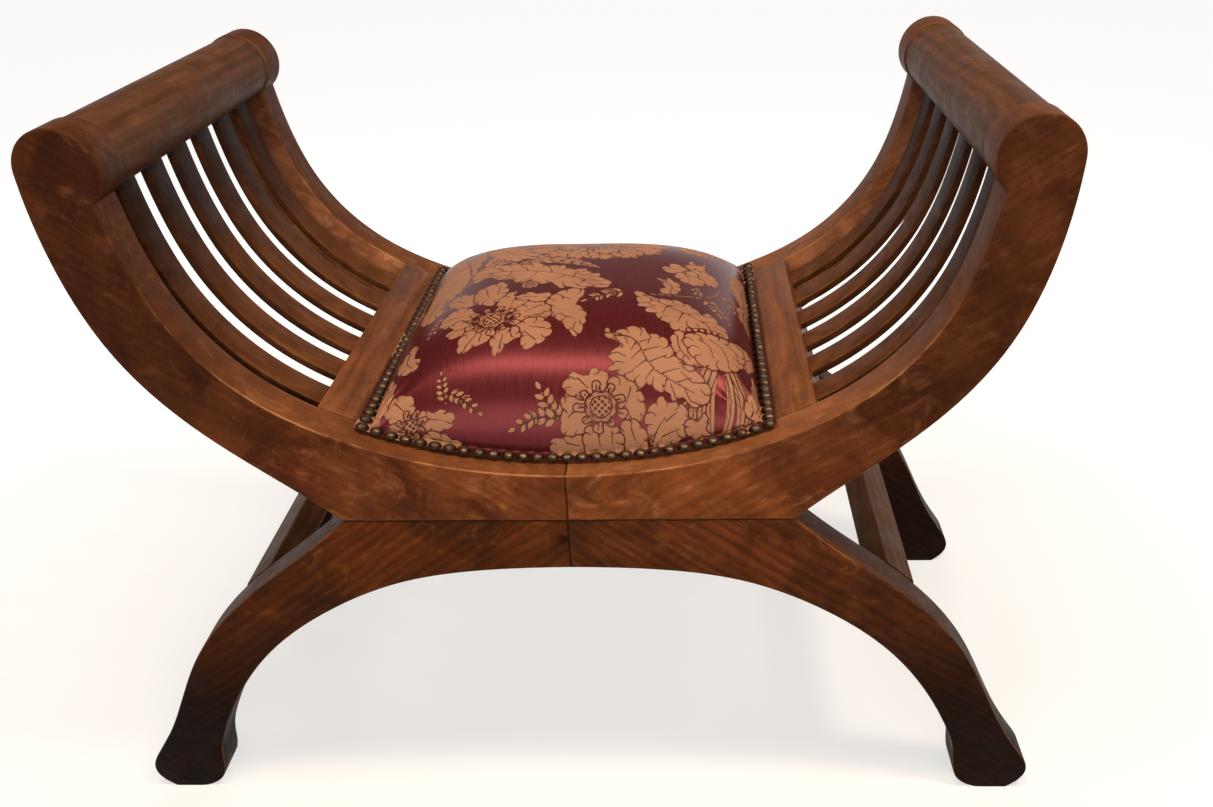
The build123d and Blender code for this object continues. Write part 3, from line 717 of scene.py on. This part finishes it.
def spray(points, pairs=5, size=11.0, lean=0.8, wide=0.62):
    """A stalk with pairs of small pointed leaves and one at its tip."""
    stem(points, 2.0)
    rib = curve(points)
    for k in range(pairs + 1):
        place = 1 + (len(rib) - 2) * (k + 0.6) / (pairs + 0.6) if k < pairs else len(rib) - 1
        i = min(int(place), len(rib) - 1)
        dx, dy = rib[i] - rib[i - 1]
        for hand in ((-1, 1) if k < pairs else (0,)):
            turn = math.atan2(dy, dx) + hand * lean
            far = size * (1.05 - 0.25 * k / pairs)
            c, s = math.cos(turn), math.sin(turn)
            leaf = [(0, 0), (0.30, 0.8), (0.62, 0.85), (1.0, 0), (0.62, -0.75), (0.30, -0.7)]
            weave_in(curve([(rib[i][0] + far * (a * c - b * wide * 0.5 * s),
                             rib[i][1] + far * (a * s + b * wide * 0.5 * c)) for a, b in leaf], 3, True))


def long_leaf(points, width, lobes=6, notch=0.3):
    """A long leaf with a lobed edge and side veins along a bent rib."""
    rib = curve(points, 12)
    way = np.gradient(rib, axis=0)
    way /= np.linalg.norm(way, axis=1, keepdims=True)
    square = np.stack([-way[:, 1], way[:, 0]], 1)
    share = np.linspace(0, 1, len(rib))
    half = width * 0.5 * np.sin(math.pi * share ** 0.75) ** 0.8
    left, right = [rib + way_out * square * (
        half * (1 - notch * np.abs(np.cos(lobes * math.pi * (share + shift))) ** 4))[:, None]
        for way_out, shift in ((1, 0.0), (-1, 0.07))]
    veins = [rib[2:-3]]
    for i in range(4, len(rib) - 5, 4):
        for hand in (-1, 1):
            run = np.linspace(0.1, 1, 4)[:, None]
            veins.append(rib[i] + way[i] * run ** 1.4 * half[i] * 0.7
                         + square[i] * hand * run * half[i] * 0.66)
    weave_in(np.concatenate([left, right[::-1]]), veins)


def strand(foot):
    """One strand of the tassel, from the knot to its foot."""
    low_s, low_t = foot
    top_s = 118 + 26 * (low_s - 98) / 60
    bend_s = (top_s + low_s) / 2 + (4 if low_s > 127 else -4)
    petal([(top_s - 2.4, -132), (bend_s - 3.6, -166), (low_s - 3.4, low_t + 4), (low_s, low_t - 2),
           (low_s + 3.4, low_t + 4), (bend_s + 3.6, -166), (top_s + 2.4, -132)],
          [(top_s, -140), (bend_s, -166), (low_s, low_t + 4)], depth=0.3, crease=0.0)


def back_petal(turn, far, wide):
    """One petal of the great flower towards the back."""
    c, s = math.cos(turn), math.sin(turn)
    petal(*[[(8 + a * far * c - b * wide * s, 84 + 0.86 * (a * far * s + b * wide * c)) for a, b in run]
            for run in (((0.2, 0.25), (0.6, 0.5), (0.86, 0.52), (0.96, 0.30), (0.92, 0.1), (1.03, -0.08),
                         (0.94, -0.26), (0.88, -0.5), (0.6, -0.5), (0.2, -0.25)),
                        ((0.45, 0.1), (0.65, 0.18), (0.8, 0.2)),
                        ((0.45, -0.1), (0.65, -0.16), (0.82, -0.2)))])


# kinds of part that have one point, and kinds that have a run of them
AT_A_POINT = {"disc": disc, "seeds": partial(disc, is_seed=True), "ring": ring, "bloom": bloom,
              "strand": strand}
ALONG_A_RUN = {"stem": stem, "spray": spray, "leaf": long_leaf}
KINDS = {"petal", "back_petal", *AT_A_POINT, *ALONG_A_RUN}


def draw(pattern):
    """Weave a written pattern: each part has its kind, its points, a stroke before the points of
    each vein, and its sizes.  The first point of a run is where it starts, and the others are steps
    from the one before, in mm.  A later part lies over an earlier one."""
    words = pattern.split()
    starts = [i for i, word in enumerate(words) if word in KINDS] + [len(words)]
    for first, last in zip(starts, starts[1:]):
        runs, sizes = [[]], []
        for word in words[first + 1:last]:
            if word == "/":
                runs.append([])
            elif "," in word:
                s, t = runs[-1][-1] if runs[-1] else (0.0, 0.0)
                step_s, step_t = word.split(",")
                runs[-1].append((s + float(step_s), t + float(step_t)))
            else:
                sizes.append(float(word) if "." in word else int(word))
        kind = words[first]
        if kind == "petal":
            petal(*runs)
        elif kind == "back_petal":
            back_petal(*sizes)
        elif kind in AT_A_POINT:
            AT_A_POINT[kind](runs[0][0], *sizes)
        else:
            ALONG_A_RUN[kind](runs[0], *sizes)


# stalks and sprays
draw("""
stem 136,8 -7,-22 -15,-16 -20,-11 -36,-8 2.4  stem 112,-37 -24,-9 -26,-4 1.6
stem -30,-20 3,-16 -7,-18 1.4  stem -36,-22 -4,-24 -10,-14 1.4  spray 46,-46 -14,-4 -18,-12 6 12 1 0.5
spray -2,-194 -10,10 -9,16 4 12  spray -6,-192 -18,1 -18,-8 5 11  spray -100,-176 -3,12 -2,14 4 8
spray -99,-166 11,-6 14,-12 5 9  spray -112,-62 -7,-16 -6,-16 4 9  spray 142,4 8,-12 8,-14 6 12 1 0.45
spray 120,-30 10,-12 11,-14 6 12 1 0.45  spray 106,-8 6,-10 0,-12 3 8
""")
# foliage that fills the left of the back
draw("""
leaf -100,-4 -14,34 6,36 14,36 28 6  leaf -94,36 22,24 30,14 28 6  leaf -86,34 36,16 30,-4 24,-16 22 6
leaf -62,28 32,6 30,-10 22,-16 17 6  leaf -150,60 18,28 12,34 30 6  leaf -160,-34 -8,40 8,44 24 6
leaf -78,88 26,12 20,22 26 6  leaf -128,-60 12,16 8,22 10 6
""")
# flower to the right of the back, and the leaf under it
draw("""
petal 100,34 4,12 2,14 5,-10 5,2 6,10 -1,-16 5,-8 -8,-8 / 110,34 2,10
petal 78,18 2,8 6,4 -1,6 7,2 7,-4 5,-10 -6,-12 -10,-2 / 84,22 10,2
petal 104,30 10,6 10,2 9,-6 2,-12 -4,-8 -9,-4 -10,6 / 114,26 12,-2
petal 90,10 8,10 10,2 10,-6 2,-10 -8,-10 -10,-2 -8,6 / 102,12 4,-10  disc 107,22 6 6
petal 72,-4 7,-5 5,6 6,-5 5,-6 1,-12 -3,-10 -7,-5 -9,1 0,7 4,7 -3,11 / 80,-12 8,-10 -2,-14
""")
# long toothed leaf and the rose that hangs below it
draw("""
petal 54,-42 8,-2 6,-7 12,-3 14,2 14,-7 7,-7 6,5 7,-3 4,-8 7,-4 2,-12 -5,-9 -14,5 -14,-4 -9,-8 -11,2 -4,8
  -7,2 -3,8 -8,3 -2,7 -6,3 -1,11 / 62,-50 22,-16 24,-12 22,-10 / 70,-56 -2,-12 / 84,-66 -4,-14 / 98,-74
  -4,-16 / 84,-66 12,6 / 100,-74 12,4 / 114,-81 12,5
disc 103,-100 2.6  disc 109,-97.6 2.6  disc 115,-95.6 2.6  disc 121,-94 2.6  disc 127,-92.8 2.6
disc 133,-92 2.6  strand 98,-190  strand 157,-182  strand 104,-202  strand 152,-196  strand 112,-208
strand 144,-206  strand 121,-212  strand 133,-212
petal 142,-190 8,8 10,2 4,-10 -6,-10 -10,-2 / 148,-190 10,2
petal 136,-212 6,9 10,-3 6,-10 -8,-8 -12,2 / 142,-212 8,-2
petal 98,-104 -8,-3 -3,-11 3,-12 7,-9 10,-4 7,5 -8,12 -4,12 / 93,-112 2,-14 8,-10
petal 146,-94 12,6 14,0 4,-10 -8,-14 -10,-12 -10,6 / 168,-94 -10,-14
petal 98,-112 8,9 14,5 16,2 14,3 8,-7 -2,-16 -8,-14 -14,-9 -16,-2 -11,7 -6,10 / 112,-110 9,-6 3,-12 /
  122,-106 11,-6 5,-14 / 138,-102 9,-6 2,-12
""")
# curled leaf in front of it
draw("""
petal 30,-112 3,5 5,-5 8,4 10,4 8,-2 5,-6 8,-1 7,-5 4,-9 4,-9 7,-5 8,-3 6,-7 6,-8 1,-9 -7,-8 -10,-2 -5,7
  -8,-5 -6,8 -8,-1 -6,6 -10,-3 -6,7 -10,-1 -2,7 -7,3 4,7 -5,6 6,6 4,7 -7,3 -5,4 / 40,-116 12,-1 8,-8 6,-13
  8,-11 14,-9 18,-8 / 58,-122 -4,-9 / 63,-130 -9,-10 / 67,-140 -11,-10 / 73,-148 -7,-10 / 84,-155 -2,-9 /
  62,-122 8,3 / 65,-131 13,5 / 70,-142 14,8 / 80,-152 14,6 / 92,-159 12,5
""")
# peony at the front
draw("""
petal 66,-198 1,12 6,8 7,6 6,-5 8,1 7,-6 2,-10 -2,-11 -7,-6 -9,-5 -13,-2 / 72,-212 4,12 6,10 / 84,-192 8,8
  / 80,-206 14,8
petal 98,-196 6,8 6,-2 4,8 5,-6 -3,-6 6,-5 -8,-3 -8,-4
petal -3,-172 0,-14 -2,-14 8,-12 13,6 6,16 -8,16 / 2,-190 8,6
petal -2,-168 1,9 8,7 8,-4 8,7 10,-4 7,-7 -6,-12 -20,-4 / 10,-158 8,-8
petal 34,-166 5,10 9,-1 9,-6 6,-7 3,-12 -5,-15 -11,5 -8,14 / 54,-166 -4,-14
petal -15,-214 7,6 12,1 13,1 7,-8 -4,-12 -28,0 / 0,-213 12,-3
petal 44,-200 10,8 9,-6 5,-10 -4,-16 -20,-2 / 54,-200 4,-12
petal 14,-204 10,7 14,0 8,-7 2,-12 -6,-10 -24,0 / 26,-204 2,-12 / 38,-203 0,-11  ring 29,-182 10 21 9 0.4
disc 29,-182 12 8  seeds 29,-182 9
""")
# long leaves that cross the middle
draw("""
petal -150,24 2,-32 -3,-30 9,-22 12,-4 10,16 -3,16 9,12 6,14 2,22 -4,26 -8,28 -10,22 -14,-22 / -138,-48
  4,38 8,40 2,36 / -136,-26 12,8 / -133,-4 15,10 / -128,20 14,12
petal -104,112 6,-28 8,-22 12,-14 14,-10 12,6 14,12 -12,16 -18,18 -14,24 / -88,96 14,-26 20,-18 / -78,78
  16,-4 / -84,88 -6,-12
petal -104,18 6,14 14,4 10,-6 10,4 10,-8 14,2 10,-10 14,0 8,-10 14,0 6,-10 8,-2 2,-10 9,-8 1,-11 -8,-6
  -10,3 -8,-6 -10,6 -10,-2 -8,12 -12,-1 -8,9 -12,-3 -8,11 -12,2 -10,12 -8,-2 -6,-6 / -92,18 30,-7 32,-9
  30,-16 24,-16 / -72,14 -6,12 / -48,8 -4,12 / -24,0 -4,14 / -4,-12 4,14 / -64,11 -2,-13 / -38,5 -6,-15 /
  -12,-8 -10,-12 / 8,-19 -6,-15
""")
# peony to the left
draw("""
petal -22,-60 12,16 13,4 7,-7 -3,-13 -3,-9 5,-8 5,-11 -1,-16 -5,-13 -7,5 -9,14 -12,12 / -10,-56 8,-6 /
  -8,-88 12,-6
petal -100,-60 -12,8 -6,10 2,11 8,5 8,-4 6,-3 6,-11 2,-14 / -110,-38 10,-10
petal -88,-56 -4,16 2,13 8,7 10,5 7,-3 2,-10 3,-10 -2,-14 -10,-14 / -82,-30 4,-16 / -70,-24 0,-20
petal -68,-62 9,18 7,3 -1,-9 8,-5 7,-5 3,-10 -11,-10 -14,4 / -52,-54 -2,-14
petal -114,-90 -4,12 6,12 8,7 12,-5 8,-16 -8,-12 -12,-1 / -110,-76 14,-2
petal -50,-80 10,14 12,1 9,-10 2,-13 -7,-11 -14,0 -12,7 / -28,-72 -12,-10 / -24,-86 -16,-4
petal -42,-96 14,5 10,-8 4,-11 -6,-11 -10,-7 -8,-2 -3,12 -6,12 / -22,-106 -12,2 / -28,-120 -10,10
petal -84,-94 -12,9 -11,-5 4,-6 -5,-8 6,-6 12,2 8,6 / -100,-100 10,2
petal -84,-100 -8,-8 -3,-11 3,-12 10,5 8,4 9,4 -3,14 / -88,-124 8,14 / -76,-118 1,10
petal -62,-106 -5,-10 2,-11 4,-10 4,4 7,11 9,6 -4,12 / -58,-128 2,16 / -48,-116 -3,8
ring -68,-91 10 24 11 0.2 0.85  disc -68,-91 11 8  seeds -68,-91 8  disc -42,-28 7.5 6  seeds -42,-28 4
petal -52,-58 6,10 8,2 8,-4 6,4 4,-10 -8,-10 -12,4 / -44,-54 12,-2
""")
# flower at the left of the front
draw("""
petal -146,-104 8,5 4,-7 -1,-12 7,-7 0,-8 -8,-5 -10,4 -7,12 / -142,-108 0,-14 8,-10
petal -153,-164 7,8 9,-3 8,-4 3,-11 -8,-9 -13,2 / -144,-164 8,-8
petal -130,-182 9,6 9,-4 8,1 10,-5 0,-8 -8,-5 -10,1 -12,3 / -120,-184 16,-4
petal -119,-196 13,-2 8,-6 9,-6 -5,-7 -16,1 -13,9 / -114,-202 14,-6
petal -152,-184 12,2 13,-8 4,-14 -13,-4 -12,8 / -146,-190 14,-10  ring -130,-188 6 14 8 0.3
seeds -130,-188 6
petal -150,-138 -8,4 -10,-16 -10,-22 -8,-24 10,-2 12,12 12,18 6,18 / -156,-142 -10,-22 -10,-22
leaf -176,-150 -2,34 10,32 22 5
""")
# great flower towards the back, most of it beyond the crown
draw("""
back_petal -2.75 66 26  back_petal -2.2 60 28  back_petal -0.35 74 28  back_petal 0.15 78 28
back_petal 0.7 70 30  back_petal 1.25 62 30  back_petal 1.8 62 30  back_petal 2.4 68 30
back_petal 2.95 74 28  back_petal -1.75 56 28  back_petal -1.25 60 30  back_petal -0.8 66 30
bloom 8,84 40 0.5 8 0.86
""")
# the repeat goes on over the sides and the back
draw("""
petal 148,44 5,26 13,22 18,10 8,-42 -8,-42 -14,-14 -12,14 / 170,20 -2,32 8,32 / 168,44 -10,8 / 170,60 14,6
leaf 96,84 24,20 30,4 34 5  leaf -60,140 -24,24 12,36 34 6  leaf 70,146 34,10 36,-14 34 6
leaf 176,-36 -10,32 14,34 22 5  leaf -184,60 18,36 -10,40 28 5  leaf 150,-176 18,26 -2,30 26 5
spray -150,104 4,28 -10,26 5 13  spray 28,150 12,22 -6,24 5 13  bloom -126,176 40 0.5 8
bloom 96,200 40 0.9 8  bloom -20,196 34 0.2 7  bloom 176,160 36 0.7 7  bloom -186,-20 34 1.1 7
bloom -186,-206 30 0.4 7
""")

# the woven cloth: ribs 0.9 mm apart, drawn coarser than the real 0.3 mm so that they show
MARKS = {"figure": figure, "vein": vein, "near_vein": near_vein, "seed": seed}
SATIN_GLOSS = 0.12
damask, _ = new_material("silk_damask")
placed = add("UVMap", uv_map="cloth")
in_figure, to_vein, nearness, to_seed = [add("Attribute", attribute_name=name).outputs["Fac"]
                                         for name in MARKS]
shape = ease(in_figure, -0.15, 0.35)
on_vein = ease(reckon("ABSOLUTE", to_vein), 0.35, 0.75, 1.0, 0.0)
inked = times(on_vein, ramp(nearness, 1.3, 1.8, 1.0, 0.0))
dots_at = add("Mapping", {"Vector": placed, "Scale": (250.0, 250.0, 1.0), "Rotation": (0, 0, 0.78)})
dots = add("TexVoronoi", {"Vector": dots_at, "Scale": 1.0, "Randomness": 0.2},
           voronoi_dimensions="2D")
seeded = times(ease(dots, 0.25, 0.42, 1.0, 0.0), ramp(to_seed, 0.4, 1.0))
open_ground = reckon("MAXIMUM", inked, seeded)
woven = times(shape, reckon("SUBTRACT", 1.0, open_ground))
slub = noise(stretched(placed, 900.0, 40.0), 1.0, 3.0, 0.6)
weft = noise(stretched(placed, 60.0, 1100.0), 1.0, 2.0)
satin = blend(slub, "#4a1a1d", "#6e2a30")
gold = blend(weft, "#91624c", "#b28365")
aged = ramp(noise(placed, 16.0, 2.0), 0.3, 0.7, 0.9, 1.08)
both = blend(woven, satin, add("VectorMath", {0: gold, "Scale": aged}, operation="SCALE"))
# lines inside the figure are sunk and dark
sunk = times(open_ground, shape)
drawn_in = blend(sunk, both, "#4a1d18")
gleam = ramp(reckon("MAXIMUM", woven, sunk), 0, 1, 0.44, 0.0)
matt = reckon("ADD", ramp(woven, 0, 1, 0.31, 0.62), ramp(slub, 0.3, 0.7, -0.05, 0.05))
raised = reckon("MULTIPLY_ADD", woven, weft, slub)
relief = add("Bump", {"Height": raised, "Strength": 0.5, "Distance": 0.0003})
surface({"Base Color": drawn_in, "Roughness": matt, "Metallic": gleam, "Normal": relief,
               "Specular IOR Level": SATIN_GLOSS})

cover = put("seat_cover_damask", sheet_mesh("seat_cover_damask", fine_x, fine_y, fine_z))
for name, values in MARKS.items():
    layer = cover.data.attributes.new(name, "FLOAT", "POINT")
    layer.data.foreach_set("value", values.astype(np.float32))
UV_MIDDLE = 0.25          # where the middle of the seat lies on the flat cloth, one unit to the metre
uv = cover.data.uv_layers.new(name="cloth")
corner = np.zeros(len(cover.data.loops), np.int32)
cover.data.loops.foreach_get("vertex_index", corner)
flat_uv = np.stack([along_x.ravel() + UV_MIDDLE, along_y.ravel() + UV_MIDDLE], 1)[corner]
uv.data.foreach_set("uv", flat_uv.astype(np.float32).ravel())
cover.data.materials.append(damask)
cover.data.polygons.foreach_set("use_smooth", np.ones(len(cover.data.polygons), bool))
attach(cover, "root")
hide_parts("seat_cover")

# ---- Filling ---------------------------------------------------------
# Curled hair under a layer of cotton felt, built up on the hessian to a broad crown.
felt, place = new_material("cotton_felt")
tuft = noise(place, 120.0, 6.0, 0.7)
tone = blend(tuft, "#c9c0aa", "#ece6d6")
fluff = add("Bump", {"Height": tuft, "Strength": 0.6, "Distance": 0.002})
surface({"Base Color": tone, "Roughness": 1.0, "Normal": fluff})
INSET = 0.00352           # filling under the cloth
SHRUNK = 0.975            # its breadth against the cloth's
SOLE = 0.0036             # its underside over the wooden seat curve
LEAST = 0.0005            # its least thickness
inner = slice(5, -5)
top = np.stack([grid_x[inner, inner] * SHRUNK, grid_y[inner, inner] * SHRUNK, grid_z[inner, inner]], -1)
floor_z = seat_height(top[..., 0]) + SOLE
top[..., 2] = np.maximum(top[..., 2] - INSET, floor_z + LEAST)
under = np.stack([top[..., 0], top[..., 1], floor_z], -1)
n = top.shape[0]
index = np.arange(n * n).reshape(n, n)
faces = [tuple(q) for q in grid_quads(index).tolist()]
faces += [tuple(n * n + i for i in reversed(q)) for q in faces]
rim = list(index[:, 0]) + list(index[-1, 1:]) + list(index[-2::-1, -1]) + list(index[0, -2:0:-1])
rim = [int(i) for i in rim]
faces += [(b, a, n * n + a, n * n + b) for a, b in zip(rim, rim[1:] + rim[:1])]
mesh = bpy.data.meshes.new("seat_filling")
mesh.from_pydata(np.concatenate([top.reshape(-1, 3), under.reshape(-1, 3)]).tolist(), [], faces)
mesh.validate()
filling = put("seat_filling", mesh)
mesh.polygons.foreach_set("use_smooth", np.ones(len(mesh.polygons), bool))
mesh.materials.append(felt)
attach(filling, "root")
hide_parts("seat_padding")
cover.data.calc_loop_triangles()

# ---- Nails -----------------------------------------------------------
# Domed brass nails, darkened to an antique finish and set edge to edge, rubbed bright on top.
antique, place = new_material("antiqued_brass")
facing = add("SeparateXYZ", {0: add("TexCoord").outputs["Normal"]})
patches = noise(place, 260.0, 4.0, 0.65)
bright = ease(reckon("ADD", facing.outputs[2], patches), 1.05, 1.62)
tone = blend(bright, "#33241b", "#7c6752")
tarnish = ramp(bright, 0, 1, 0.55, 0.3)
pits = add("Bump", {"Height": patches, "Strength": 0.3, "Distance": 0.0003})
surface({"Base Color": tone, "Metallic": 0.9, "Roughness": tarnish, "Normal": pits})
dress("upholstery_nails", antique)

# ---- Floor, light and camera -----------------------------------------
# A plain pale floor under soft light from above, a little in front.


def watched_rays():
    """The node of rays, and whether one reaches the camera straight, mirrored or through glass."""
    ray = add("LightPath")
    watched = reckon("MAXIMUM", ray.outputs["Is Glossy Ray"], ray.outputs["Is Transmission Ray"])
    return ray, reckon("MAXIMUM", watched, ray.outputs["Is Camera Ray"])


bpy.ops.mesh.primitive_plane_add(size=60.0, location=(0, 0, 0))
floor = bpy.context.object
floor.name = "studio_floor"
pale, place = new_material("pale_floor")
ray, watched = watched_rays()
seen = add("BsdfDiffuse", {"Color": "#b9b8b6"})
away = add("VectorMath", {0: place}, operation="LENGTH")
lift = ease(away.outputs["Value"], 0.3, 1.5, 0.6, 0.9)
glow = add("Emission", {"Color": "#ffffff", "Strength": lift})
shown = add("AddShader", {0: seen, 1: glow})
dim = add("BsdfDiffuse", {"Color": "#8d8883"})
add("OutputMaterial", {0: add("MixShader", {0: watched, 1: dim, 2: shown})})
floor.data.materials.append(pale)

world = bpy.data.worlds.new("studio")
bpy.context.scene.world = world
new_tree(world)
ray, watched = watched_rays()
# the pale backdrop stands around the chair, and the ceiling over it is dim
rise = add("SeparateXYZ", {0: add("TexCoord").outputs["Generated"]})
backdrop = ease(rise.outputs[2], 0.08, 0.35, 1.0, 0.0)
backdrop = reckon("MAXIMUM", backdrop, ray.outputs["Is Camera Ray"])
over = blend(backdrop, "#705a48", "#ffffff")
bright = add("Background", {"Color": over, "Strength": 1.0})
soft = add("Background", {"Color": "#fff1e2", "Strength": 0.11})
add("OutputWorld", {0: add("MixShader", {0: watched, 1: soft, 2: bright})})

CEILING_TINT = "#ffe9cf"
FILL_TINT = "#fff3e4"
OVER_SEAT = -0.44         # the ceiling lamps hang this far towards the front
CEILING = 1.9
FILL_SIZE = (2.2, 1.4)


def soft_lamp(name, place, aim, size, power, tint, spread=180):
    """A soft lamp that looks at a point, with its width and height, watts and spread in degrees."""
    data = bpy.data.lights.new(name, "AREA")
    data.shape = "RECTANGLE"
    data.size, data.size_y = size
    data.energy = power
    data.spread = math.radians(spread)
    data.color = colour(tint)[:3]
    lamp = put(name, data)
    way = np.array(aim, float) - np.array(place, float)
    lamp.location = place
    lamp.rotation_euler = (math.atan2(math.hypot(way[0], way[1]), -way[2]), 0,
                           math.atan2(way[1], way[0]) - math.pi / 2)
    return lamp


soft_lamp("ceiling_lamp_left", (-0.22, OVER_SEAT, CEILING), (0.0, 0, 0.35), (0.8, 0.3), 13.0, CEILING_TINT)
soft_lamp("ceiling_lamp_right", (0.74, OVER_SEAT, CEILING), (0.1, 0, 0.35), (0.3, 0.3), 15.0, CEILING_TINT)
soft_lamp("front_fill", (0.12, -2.3, 1.10), (0.04, 0, 0.36), FILL_SIZE, 10.0, FILL_TINT, spread=90)
rear_fill = soft_lamp("rear_fill", (-0.10, 2.3, 1.0), (0.0, 0, 0.36), FILL_SIZE, 9.0, FILL_TINT, spread=90)
rear_fill.visible_glossy = False      # it lights the back and puts no glare on the seat

data = bpy.data.cameras.new("camera")
camera = put("camera", data)
data.sensor_width = 36.0
data.lens = 33.01
data.shift_x = -0.0401
data.shift_y = 0.0311
camera.matrix_world = (Matrix.Translation((0.1013, -0.9780, 0.8259))
                       @ Matrix.Rotation(math.radians(1.96), 4, "Z")
                       @ Matrix.Rotation(math.radians(60.38), 4, "X")
                       @ Matrix.Rotation(math.radians(-1.393), 4, "Z"))
bpy.context.scene.camera = camera
bpy.context.scene.view_settings.view_transform = "Standard"
